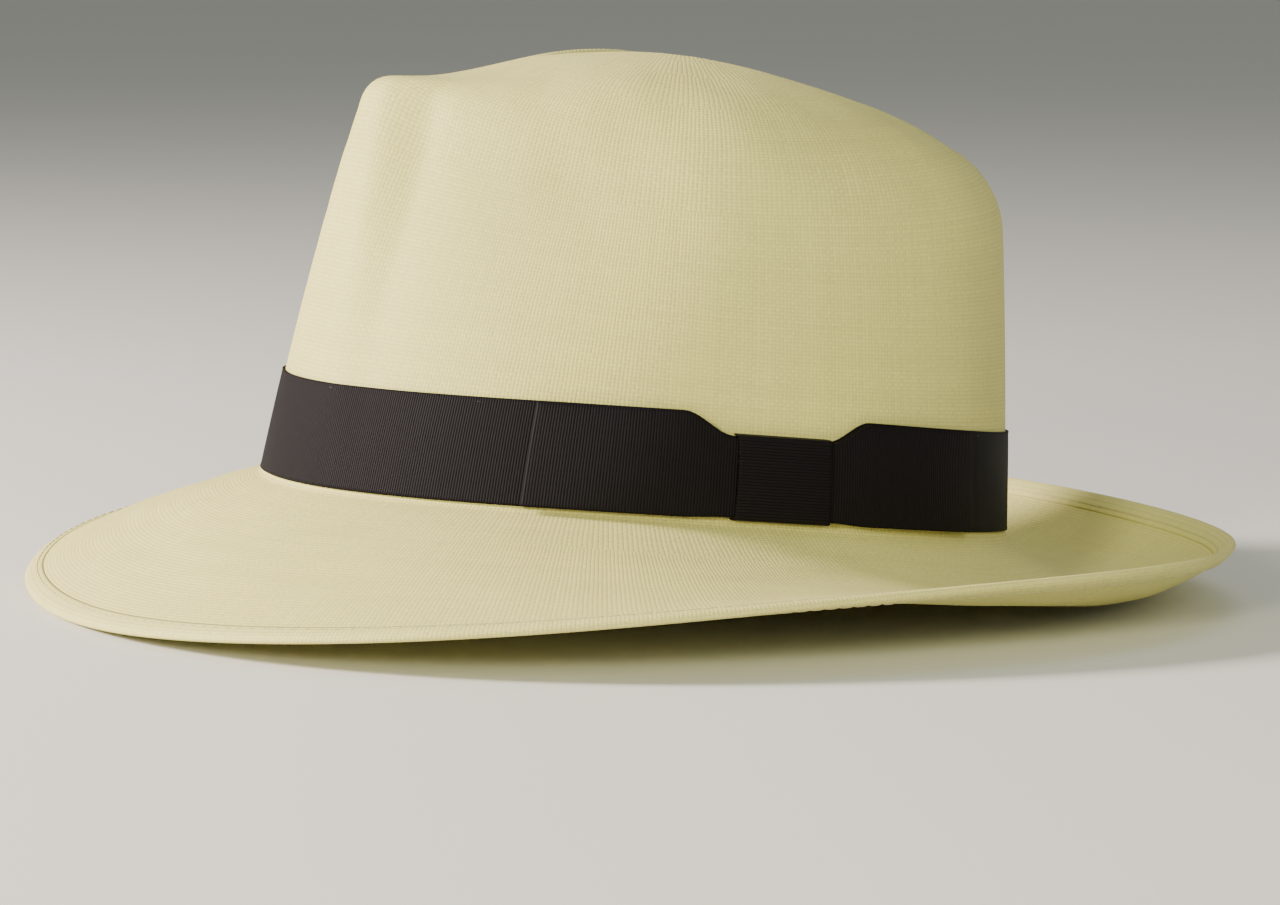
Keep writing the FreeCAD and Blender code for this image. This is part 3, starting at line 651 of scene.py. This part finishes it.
def grid_mesh(name, points, across, along, around=False, tube=False, cap=False):
    """A smooth mesh over a grid of points: rows across, columns along.

    around joins the last column to the first, and tube joins the last row to the first. across and along
    are the UV numbers, of the points with one more row or column where the grid joins up, or, where a
    strand count changes from row to row, a pair of them for each row of faces (low side, high side).
    cap closes the last row with one small face.
    """
    rows, columns = points.shape[:2]
    row_steps = rows if tube else rows - 1
    column_steps = columns if around else columns - 1
    row = np.arange(row_steps)[:, None]
    column = np.arange(column_steps)[None, :]
    next_row, next_column = (row + 1) % rows, (column + 1) % columns
    corners = [
        row * columns + column,
        row * columns + next_column,
        next_row * columns + next_column,
        next_row * columns + column,
    ]
    faces = np.stack(np.broadcast_arrays(*corners), -1).reshape(-1, 4)
    if across.ndim == 3:
        low, high = across
    else:
        across = np.broadcast_to(across, (row_steps + 1, column_steps + 1))
        low, high = across[:-1], across[1:]
    along = np.broadcast_to(along, (row_steps + 1, column_steps + 1))
    u = np.stack((low[:, :-1], low[:, 1:], high[:, 1:], high[:, :-1]), -1).ravel()
    v = np.stack((along[:-1, :-1], along[:-1, 1:], along[1:, 1:], along[1:, :-1]), -1).ravel()
    faces = faces.tolist()
    if cap:
        faces.append(list(range((rows - 1) * columns, rows * columns)))
        u, v = np.append(u, np.zeros(columns)), np.append(v, np.full(columns, along[-1, -1]))
    return add_piece(name, to_row(points).reshape(-1, 3), faces, u, v)


def ring(count):
    """Angles evenly round the hat, from the front."""
    return np.linspace(0, 2 * math.pi, count, endpoint=False)


def thicken(piece, thickness, offset):
    """Gives a sheet its thickness in mm: offset 1 adds it outward, -1 inward and 0 half each way."""
    solid = piece.modifiers.new("thickness", "SOLIDIFY")
    solid.thickness = thickness * MM
    solid.offset = offset
    solid.use_even_offset = True
    return piece


def smooth(piece):
    rounded = piece.modifiers.new("smooth", "SUBSURF")
    rounded.levels = rounded.render_levels = 1
    return piece


def finish_piece(piece, slot, material, *nodes):
    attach(piece, "root")
    if nodes:
        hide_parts(*nodes)
    piece.data.materials.append(material)


# ---------------------------------------------------------------------------------------------
# Straw. STRAND is a strand's width with its gap, in mm, and STRANDS_AROUND how many go round the headline

STRAND, STRANDS_AROUND = 1.05, 560
COLUMNS = 288
CROWN_END = 0.9985
HEM_OVERLAP = 1.5
MEAN_BRIM_WIDTH, HEM_GIRTH = 62, 11.5
HEM_STITCH = {"length": 3.1, "radius": 0.17, "lift": 0.05}


def lengths_along(points):
    """The mean distance of each row of a grid from its first row."""
    steps = np.linalg.norm(np.diff(points, axis=0), axis=-1).mean(axis=1)
    return np.concatenate(([0.0], np.cumsum(steps)))


def strand_counts(points):
    """How many strands cross each row of faces: it falls or grows in steps, at the increase rings."""
    loop = np.linalg.norm(np.diff(points, axis=1, append=points[:, :1]), axis=-1).sum(axis=1)
    middle = (loop[:-1] + loop[1:]) / 2
    steps = np.round(np.log2(np.maximum(middle, 1.0) / STRAND / STRANDS_AROUND) * 2) / 2
    return np.maximum(np.round(STRANDS_AROUND * 2.0**steps / 2) * 2, 6)


def woven_shell(name, points, cap=False):
    turn = np.linspace(0, 1, COLUMNS + 1)
    counts = strand_counts(points)[:, None]
    across = np.stack((turn * counts, turn * counts))
    along = (lengths_along(points) / STRAND)[:, None]
    return grid_mesh(name, points, across, along, around=True, cap=cap)


def make_crown(material):
    """The crown. Its last row stops just short of the top's middle, and one small face closes it."""
    angle, share = np.meshgrid(ring(COLUMNS), np.linspace(0, CROWN_END, 150))
    crown = woven_shell("crown_straw", crown_point(angle, share), cap=True)
    finish_piece(thicken(crown, Hat.straw, -1), "straw", material, "crown")


def make_brim(material):
    """The brim, which ends inside the hem. Its rows lie closer together near the foot."""
    angle, share = np.meshgrid(ring(COLUMNS), np.linspace(0, 1, 64) ** 1.4)
    distance = share * (plan_width(angle) - Hat.hem_width + HEM_OVERLAP)
    brim = woven_shell("brim_straw", brim_point(angle, distance))
    finish_piece(thicken(brim, Hat.straw, 1), "straw", material, "brim")


def make_hem(material):
    """The pressed edge: a flattened welt, with a step where it is turned over."""
    shares = np.sin(np.linspace(0, 1, 14) * math.pi / 2)
    top, bottom = shares, shares[::-1][1:-1]
    rows = np.concatenate((top, bottom))
    side = np.concatenate((np.full(len(top), -1.0), np.full(len(bottom), 1.0)))
    points = hem_point(ring(COLUMNS)[None, :], rows[:, None], side[:, None])
    rim = math.pi * (Hat.half_length + Hat.half_width + 2 * MEAN_BRIM_WIDTH)
    across = np.linspace(0, round(rim / STRAND), COLUMNS + 1)[None, :]
    along = (np.linspace(0, HEM_GIRTH, len(rows) + 1) / STRAND)[:, None]
    hem = grid_mesh("brim_hem_straw", points, across, along, around=True, tube=True)
    hem.data.flip_normals()
    finish_piece(hem, "straw_hem", material, "brim_hem")


def stitch_mesh(name, places, ways, ups, length, radius, lift):
    """Short raised stitches, each bowed over the cloth: one mesh for a whole row of them."""
    steps, sides, steps_a_ply = 7, 6, 3
    share = np.linspace(-1, 1, steps)
    swell = np.sqrt(np.maximum(1 - (share * 0.94) ** 4, 0.02))
    turn = ring(sides)
    across = np.cross(ways, ups)
    points, faces, uvs = [], [], []
    for number in range(len(places)):
        base = number * steps * sides
        centre = places[number] + ways[number] * (share * length / 2)[:, None]
        centre = centre + ups[number] * (lift * (1 - share**2))[:, None]
        section = across[number] * np.cos(turn)[:, None] + ups[number] * np.sin(turn)[:, None]
        points.append((centre[:, None] + section[None] * (radius * swell)[:, None, None]).reshape(-1, 3))
        for step in range(steps - 1):
            for side in range(sides):
                after = (side + 1) % sides
                low, high = base + step * sides, base + (step + 1) * sides
                faces.append((low + side, low + after, high + after, high + side))
                for beside, onward in ((0, 0), (1, 0), (1, 1), (0, 1)):
                    uvs.append(((side + beside) / sides, (step + onward) / steps_a_ply))
        for end in (0, steps - 1):
            faces.append(tuple(base + end * sides + side for side in range(sides)))
            uvs += [(side / sides, end / steps_a_ply) for side in range(sides)]
    return add_piece(name, to_row(np.concatenate(points)), faces, *np.array(uvs).T)


def stitch_frames(line, surface_up):
    """Places, directions and ups along a closed line of points."""
    ways = unit(np.roll(line, -1, 0) - np.roll(line, 1, 0))
    ups = unit(surface_up - ways * (surface_up * ways).sum(-1, keepdims=True))
    return line, ways, ups


def make_hem_stitches(material):
    """One row of stitches through the hem, made twice: as it shows above and as it shows below."""
    angle = ring(250)
    distance = plan_width(angle) - Hat.hem_thread_inset
    raised = (Hat.hem_thickness - Hat.straw) / 2
    for name, depth, away, nodes in (
        ("hem_stitches", -raised, -1, ["hem_thread"]),
        ("hem_stitches_below", Hat.straw + raised, 1, []),
    ):
        line = brim_point(angle, distance, depth)
        beyond = brim_point(angle, distance, depth + away)
        stitches = stitch_mesh(name, *stitch_frames(line, beyond - line), **HEM_STITCH)
        finish_piece(stitches, "straw_thread", material, *nodes)


# ---------------------------------------------------------------------------------------------
# Ribbon and bow

KEEPER = Band.keeper_angle
ARC = math.hypot(Hat.half_length * math.sin(KEEPER), Hat.half_width * math.cos(KEEPER))
KEEPER_HALF = Band.keeper_width / 2 / ARC
LAP_SHARE, WING_ROOT_SHARE = 0.8, 0.25
LAP_HALF = KEEPER_HALF * LAP_SHARE
LAP_OUT = Band.gap + Band.thickness + Band.layer_gap
WING_OUT = LAP_OUT + Band.thickness + Band.layer_gap
KEEPER_OUT = WING_OUT + 2 * Band.thickness + Band.wing_puff + Band.layer_gap
PLY_GAP = Band.thickness + Band.wing_puff
WING_START = KEEPER_HALF * WING_ROOT_SHARE * ARC
WING_END = KEEPER_HALF * ARC + Band.wing_length - PLY_GAP / 2
KEEPER_BEND = 1.1
RIBBON_SHARES = np.linspace(0, 1, 29)
TACK_COUNT, TACK_INSET, TACK_SUNK = 12, 1.2, 0.06
TACK = {"length": 1.3, "radius": 0.12, "lift": 0.05}
PLEATS = ((0.42, 0.70, 0.05, 0.07), (0.34, 0.34, -0.04, 0.06), (-0.25, 0.53, 0.0, 0.07))
RIBBON_FOOT = float(foot_curve(np.array(Band.gap))) - Hat.foot_drop + Band.layer_gap


def gather(angle):
    """1 under the keeper, falling to 0 where the ribbon runs at full width."""
    turn = np.arctan2(np.sin(angle - KEEPER), np.cos(angle - KEEPER))
    return 1 - smooth_step((np.abs(turn) - KEEPER_HALF) * ARC / Band.dip_run)


def ribbon_rise(angle, share):
    """Height of the ribbon's lower edge (share 0) to its upper edge (share 1)."""
    low = RIBBON_FOOT + Band.keeper_lift * gather(angle)
    high = Band.width - Band.keeper_dip * gather(angle)
    return mix(low, high, share)


def layer_rise(angle, share):
    """The same for the lap and the bow's loops, which are a hair narrower than the ribbon."""
    return ribbon_rise(angle, mix(0.01, 0.99, share))


def ribbon_uv(angles):
    """UV numbers in mm: along the ribbon, and across it."""
    return angles[None, :] * ARC, RIBBON_SHARES[:, None] * Band.width


def selvage(share):
    """The thicker woven edges of a ribbon, and the slight roll of its face, in mm."""
    edge = np.minimum(share, 1 - share) * Band.width
    return 0.10 * np.exp(-((edge / 0.6) ** 2)) - 0.06 * np.exp(-(((edge - 1.3) / 0.5) ** 2))


def make_ribbon(material):
    columns = 420
    angle, share = np.meshgrid(ring(columns), RIBBON_SHARES)
    points = band_point(angle, ribbon_rise(angle, share), Band.gap + selvage(share))
    uv = ribbon_uv(np.linspace(0, 2 * math.pi, columns + 1))
    ribbon = grid_mesh("hatband", points, *uv, around=True)
    finish_piece(thicken(ribbon, Band.thickness, 1), "grosgrain", material, "hatband_ribbon")


def make_lap(material):
    """The ribbon's joined ends, under the bow."""
    turns = np.linspace(KEEPER - LAP_HALF, KEEPER + LAP_HALF, 24)
    angle, share = np.meshgrid(turns, RIBBON_SHARES)
    points = band_point(angle, layer_rise(angle, share), LAP_OUT)
    lap = grid_mesh("ribbon_lap", points, *ribbon_uv(turns))
    finish_piece(thicken(lap, Band.thickness, 1), "grosgrain", material, "hatband_lap")


def make_tacks(material):
    """Small hand stitches near the ribbon's upper edge that hold it to the straw."""
    angle = (np.arange(TACK_COUNT) + 0.5) * 2 * math.pi / TACK_COUNT
    rise = ribbon_rise(angle, 1.0) - TACK_INSET
    face = Band.gap + Band.thickness - TACK_SUNK
    line = band_point(angle, rise, face)
    outer = band_point(angle, rise, face + 1)
    tacks = stitch_mesh("ribbon_tacks", *stitch_frames(line, outer - line), **TACK)
    finish_piece(tacks, "black_thread", material, "tack_stitches")


def wing_fold():
    """The way of a loop from under the keeper, out along its outer ply, round the fold and back.

    Gives for each column its reach from the keeper's middle in mm, its lean (1 on the outer ply, -1 on the
    inner one) and its length along the ribbon in mm.
    """
    run = WING_END - WING_START
    straight = np.linspace(0, 1, 46)
    swing = np.radians(np.linspace(90, -90, 9))[1:-1]
    fold = WING_END + PLY_GAP / 2 * np.cos(swing)
    reach = np.concatenate((WING_START + run * straight, fold, WING_END - run * straight))
    lean = np.concatenate((np.ones_like(straight), np.sin(swing), -np.ones_like(straight)))
    steps = np.hypot(np.diff(reach), np.diff(lean) * PLY_GAP / 2)
    return reach, lean, np.concatenate(([0.0], np.cumsum(steps)))


def wing_relief(reach, share):
    """How far a loop's outer ply stands off: pleats that fan out of the keeper, and a slight belly.

    Each of PLEATS is a height in mm, then a place, a fan and a width as shares of the ribbon's width.
    """
    run = WING_END - WING_START
    near = np.exp(-(((reach - WING_START) / (run * 0.42)) ** 2))
    pleats = 0.0
    for height, place, fan, width in PLEATS:
        pleats = pleats + height * np.exp(-(((share - place - fan * near) / width) ** 2))
    outward_bow = np.sin(np.clip((reach - WING_START) / run, 0, 1) * math.pi)
    belly = 0.75 * outward_bow * np.sin(share * math.pi) ** 0.7
    past_keeper = smooth_step((reach - KEEPER_HALF * ARC + 1.0) / 9.0)
    return (near * pleats + belly) * past_keeper


def make_wing(name, node, direction, material):
    """One loop of the bow: a folded ribbon, pleated where the keeper gathers it."""
    columns, leans, lengths = wing_fold()
    reach, share = np.meshgrid(columns, RIBBON_SHARES)
    lean = np.broadcast_to(leans, reach.shape)
    front = smooth_step((lean + 1) / 2)
    middle = WING_OUT + Band.thickness / 2 + PLY_GAP / 2
    out = middle + lean * PLY_GAP / 2 + front * (wing_relief(reach, share) + selvage(share))
    angle = KEEPER + direction * reach / ARC
    points = band_point(angle, layer_rise(angle, share), out)
    wing = grid_mesh(name, points, lengths[None, :], RIBBON_SHARES[:, None] * Band.width)
    finish_piece(thicken(wing, Band.thickness, 0), "grosgrain", material, node)
    run = WING_END - WING_START
    2 * run * MM


def keeper_path():
    """The keeper from the side: from the straw out under the bow, up over it and back in above it.

    Gives how far out of the straw's face each row lies, and how high, in mm.
    """
    off = Band.layer_gap + Band.thickness / 2
    low = float(ribbon_rise(np.array(KEEPER), 0.0))
    high = float(ribbon_rise(np.array(KEEPER), 1.0))
    face = KEEPER_OUT + Band.thickness / 2
    corner = face - KEEPER_BEND
    path = [(Band.gap, low - off)]
    for turn in np.radians(np.linspace(180, 90, 7)):
        rise = low - off + KEEPER_BEND + KEEPER_BEND * math.cos(turn)
        path.append((corner + KEEPER_BEND * math.sin(turn), rise))
    for share in np.linspace(0.06, 0.94, 18):
        bow = 0.35 * math.sin(share * math.pi)
        path.append((face + bow, mix(low + KEEPER_BEND, high - KEEPER_BEND, share)))
    for turn in np.radians(np.linspace(90, 0, 7)):
        rise = high + off - KEEPER_BEND + KEEPER_BEND * math.cos(turn)
        path.append((corner + KEEPER_BEND * math.sin(turn), rise))
    path.append((Band.gap, high + off))
    return np.array(path).T


def make_keeper(material):
    """The short ribbon over the middle of the bow, turned under at the top and bottom."""
    out, rise = keeper_path()
    lengths = np.concatenate(([0.0], np.cumsum(np.hypot(np.diff(out), np.diff(rise)))))
    sides = np.linspace(-1, 1, 29)
    waist = 1 - 0.035 * np.sin(np.linspace(0, math.pi, len(out)))
    angle = KEEPER + KEEPER_HALF * sides[None, :] * waist[:, None]
    edge = (1 - np.abs(sides)) * Band.keeper_width / 2
    roll = 0.12 * np.exp(-((edge / 0.6) ** 2)) + 0.22 * np.cos(sides * math.pi / 2)
    face = KEEPER_OUT + Band.thickness / 2
    on_face = smooth_step((out - Band.gap) / (face - Band.gap))[:, None]
    points = band_point(angle, rise[:, None], out[:, None] + roll[None, :] * on_face)
    across = ((sides + 1) * Band.keeper_width / 2)[None, :]
    keeper = grid_mesh("bow_knot", points, across, lengths[:, None])
    finish_piece(thicken(keeper, Band.thickness, 0), "grosgrain", material, "bow_keeper")


# ---------------------------------------------------------------------------------------------
# Sweatband

LEATHER_OUT = -(Hat.straw + Band.leather_gap)
LEATHER_IN = LEATHER_OUT - Band.leather
TAPE_RADIUS = Band.reed_radius + Band.tape_gap + Band.tape
TAPE_OUT = -(Hat.straw + Band.tape_gap * 2 + TAPE_RADIUS)
LEATHER_FOOT = 2 * TAPE_RADIUS + Band.tape_gap * 2
SEAM_OUT = LEATHER_IN - 2 * Band.layer_gap - Band.thread
SWEATBAND_STITCH = {"length": 2.3, "radius": 0.2, "lift": 0.1}
ZIGZAG, STITCH_SUNK = 0.35, 0.05


def make_sweatband(material):
    """The leather, with its upper edge skived thin and a pressed line along its foot."""
    columns = 360
    turns, rises = ring(columns), np.linspace(LEATHER_FOOT, Band.leather_top, 40)
    angle, rise = np.meshgrid(turns, rises)
    skive = 0.55 * smooth_step((rise - Band.leather_top + 3) / 3)
    groove = 0.18 * np.exp(-(((rise - Band.thread_rise) / 0.5) ** 2))
    ease = 0.12 * np.sin(9 * angle) * smooth_step((rise - 12) / 20)
    inside = LEATHER_IN + skive + groove + np.maximum(ease, -0.1)
    outside = np.full(angle.shape, LEATHER_OUT)
    points = np.concatenate((band_point(angle, rise, inside), band_point(angle, rise, outside)[::-1]))
    across = np.linspace(0, 2 * math.pi * ARC, columns + 1)[None, :]
    heights = np.concatenate((rises, rises[::-1], rises[:1]))
    leather = grid_mesh("sweatband_leather", points, across, heights[:, None], around=True, tube=True)
    leather.data.flip_normals()
    finish_piece(leather, "sweat_leather", material, "sweatband")


def make_reed_tape(material):
    """The tape folded round the reed, open along its foot, with its two plies sewn to the leather."""
    columns = 320
    turns = np.radians(np.linspace(-70, 250, 25))
    angle, turn = np.meshgrid(ring(columns), turns)
    radius = TAPE_RADIUS - Band.tape
    points = band_point(angle, TAPE_RADIUS + radius * np.sin(turn), TAPE_OUT + radius * np.cos(turn))
    across = np.linspace(0, 2 * math.pi * ARC, columns + 1)[None, :]
    along = ((turns - turns[0]) * radius)[:, None]
    tape = grid_mesh("reed_tape_cloth", points, across, along, around=True)
    finish_piece(thicken(tape, Band.tape, 1), "reed_tape", material, "reed_tape")


def make_sweatband_stitches(material):
    """The zigzag row that sews the leather to its tape."""
    count = 230
    angle = ring(count)
    rise = Band.thread_rise + np.where(np.arange(count) % 2 == 0, ZIGZAG, -ZIGZAG)
    line = band_point(angle, rise, LEATHER_IN + STITCH_SUNK)
    inward = band_point(angle, rise, LEATHER_IN + STITCH_SUNK - 1)
    stitches = stitch_mesh("sweatband_stitches", *stitch_frames(line, inward - line), **SWEATBAND_STITCH)
    finish_piece(stitches, "sweat_thread", material, "sweatband_thread")


def make_seam_strip(material):
    """The strip over the leather's joined ends, at the back."""
    half = Band.seam_width / 2 / Hat.half_width
    turns = np.linspace(math.pi - half, math.pi + half, 15)
    rises = np.linspace(LEATHER_FOOT + Band.seam_inset, Band.leather_top - Band.seam_inset, 34)
    angle, rise = np.meshgrid(turns, rises)
    edge = (half - np.abs(angle - math.pi)) * Hat.half_width
    out = SEAM_OUT - 0.08 * np.exp(-((edge / 0.5) ** 2))
    across = ((angle - math.pi) * Hat.half_width)[:, ::-1]
    strip = grid_mesh("seam_strip", band_point(angle, rise, out), across, rise)
    finish_piece(thicken(strip, Band.seam, -1), "seam_ribbon", material, "sweatband_seam_strip")


def make_small_bow(material):
    """A flat bow of narrow ribbon: two loops pinched at the waist, and a knot over them."""
    low, high = (np.array(corner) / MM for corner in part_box("sweatband_bow"))
    middle, (_, length, height) = (low + high) / 2, high - low
    place, side = np.meshgrid(np.linspace(-1, 1, 41), np.linspace(-1, 1, 11))
    half = height / 2 * (0.42 + 0.58 * smooth_step(np.abs(place) * 1.5))
    lean = 0.2 * np.abs(place) * side
    puff = 0.7 * np.sin(np.abs(place) * math.pi) * (1 - side**2) ** 0.5
    points = middle + stacked(0.1 + puff + lean, place * length / 2, side * half)
    loops = grid_mesh("small_bow_loops", from_row(points), place * 11, side * 3 + 3)
    finish_piece(smooth(thicken(loops, 0.35, 0)), "seam_ribbon", material, "sweatband_bow")
    turn, side = np.meshgrid(np.radians(np.linspace(-90, 90, 13)), np.linspace(-1, 1, 7))
    points = middle + stacked(0.2 + np.cos(turn) * 1.1, side * 1.6, np.sin(turn) * height * 0.30)
    knot = grid_mesh("small_bow_knot", from_row(points), side * 1.6, turn * 1.5)
    finish_piece(smooth(thicken(knot, 0.3, 0)), "seam_ribbon", material)


# ---------------------------------------------------------------------------------------------
# Making the hat

straw = straw_finish("straw_weave", PALE_STRAW, WARM_STRAW, 0.0)
hem_straw = straw_finish("hem_weave", PALE_HEM, WARM_HEM, 5.0)
band_silk = grosgrain_finish("grosgrain_band", True, BLACK_SILK)
keeper_silk = grosgrain_finish("grosgrain_keeper", False, BLACK_SILK)
seam_silk = grosgrain_finish("seam_silk", False, FADED_SILK)
cream_thread = thread_finish("cream_thread", CREAM_COTTON)

make_crown(straw)
make_brim(straw)
make_hem(hem_straw)
make_hem_stitches(cream_thread)
make_ribbon(band_silk)
make_lap(band_silk)
make_wing("bow_front_loop", "bow_front_wing", -1, band_silk)
make_wing("bow_rear_loop", "bow_rear_wing", 1, band_silk)
make_keeper(keeper_silk)
make_tacks(thread_finish("black_thread", BLACK_COTTON))
make_sweatband(leather_finish())
make_reed_tape(tape_finish("reed_tape_weave", TAPE_COTTON))
make_sweatband_stitches(cream_thread)
make_seam_strip(seam_silk)
make_small_bow(seam_silk)

for node, material in (("sweatband_reed", reed_finish()), ("size_tag", paper_finish())):
    for slot in bpy.data.objects[node].material_slots:
        slot.material = material

# ---------------------------------------------------------------------------------------------
# Floor and light


HAT_MIDDLE = Vector((0, 0, 0.06))


def add_lamp(name, place, across, power, color):
    """A round lamp that points at the hat's middle."""
    data = bpy.data.lights.new(name, "AREA")
    data.shape = "DISK"
    data.size = across
    data.energy = power
    data.color = color
    lamp = bpy.data.objects.new(name, data)
    bpy.context.collection.objects.link(lamp)
    lamp.location = place
    lamp.rotation_euler = (HAT_MIDDLE - Vector(place)).to_track_quat("-Z", "Y").to_euler()


def add_floor():
    bpy.ops.mesh.primitive_plane_add(size=60, location=(0, 0, 0))
    floor = bpy.context.object
    floor.name = "floor"
    paper = Finish("floor_paper")
    cloud = paper.noise(paper.where(), 3.0, 3.0)
    floor.data.materials.append(paper.done(paper.colour((0.76, 0.76, 0.74), (0.79, 0.79, 0.77), cloud), 0.85))


def light_world():
    world = bpy.context.scene.world or bpy.data.worlds.new("world")
    bpy.context.scene.world = world
    world.use_nodes = True
    sky = world.node_tree.nodes["Background"]
    sky.inputs["Color"].default_value = (0.64, 0.66, 0.60, 1)
    sky.inputs["Strength"].default_value = 0.42


add_floor()
add_lamp("key", (1.14, 1.14, 0.50), 0.35, 17, (1.0, 0.98, 0.62))
add_lamp("front", (1.52, -0.48, 0.70), 0.4, 80, (1.0, 0.87, 0.80))
add_lamp("side", (-0.35, 2.0, 1.0), 1.5, 14, (0.99, 1.0, 0.80))
add_lamp("top", (-0.3, -0.4, 1.8), 1.2, 5, (1.0, 0.98, 0.94))
light_world()
